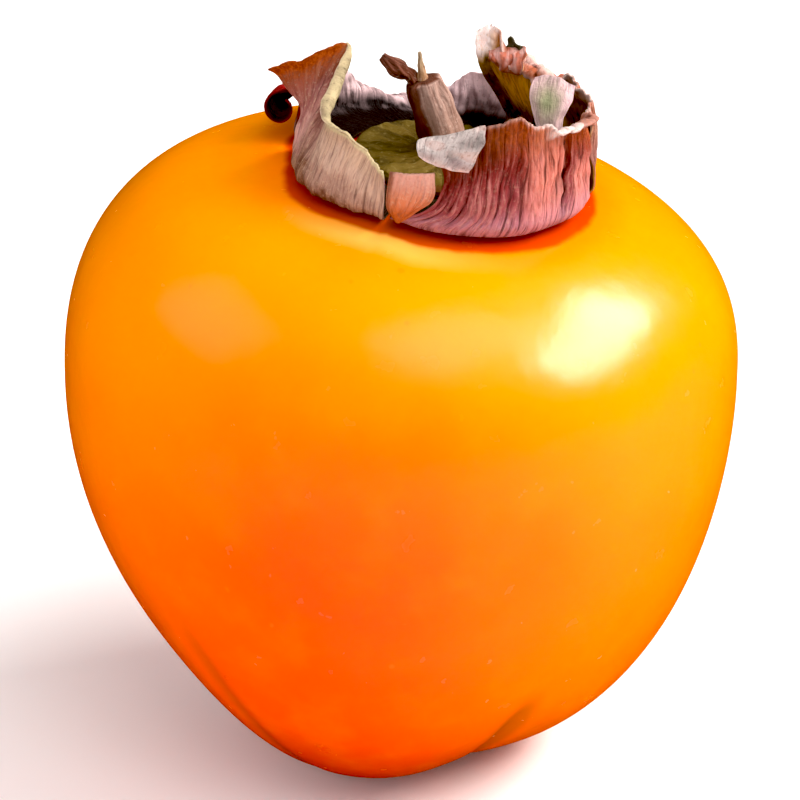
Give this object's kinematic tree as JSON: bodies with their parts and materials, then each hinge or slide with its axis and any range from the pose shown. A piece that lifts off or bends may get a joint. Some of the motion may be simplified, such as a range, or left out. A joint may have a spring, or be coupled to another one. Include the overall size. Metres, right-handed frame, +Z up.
{
  "type": "persimmon",
  "caption": "Whole ripe persimmon of the tall heart-shaped kind, with its dried, curled calyx and a stub of stem, standing on a small flat spot.",
  "frame": {"origin": "centre of the fruit's footprint, on the ground plane under its flat spot", "axes": "+Z up along the fruit from its tip to its calyx, the side shown in front faces -Y"},
  "size_m": [0.077, 0.077, 0.0876],
  "materials": {
    "skin": "smooth, waxy gloss",
    "calyx_disc": "dry, matte",
    "lobe_left": "dry, papery",
    "lobe_front": "dry, papery, ribbed",
    "lobe_right": "dry, papery, crumpled",
    "lobe_back": "dry, papery",
    "strip": "dry, papery",
    "stem": "dry bark",
    "bract": "dry bark",
    "splinter": "bare dry wood",
    "style": "dry, matte"
  },
  "bodies": {
    "root": {"fruit": "skin", "calyx_disc": "calyx_disc", "calyx_lobe_left": "lobe_left", "calyx_lobe_front": "lobe_front", "calyx_lobe_right": "lobe_right", "calyx_lobe_back": "lobe_back", "calyx_strip": "strip", "stem": "stem", "stem_bract": "bract", "stem_splinter": "splinter", "style_tip": "style"}
  },
  "joints": []
}
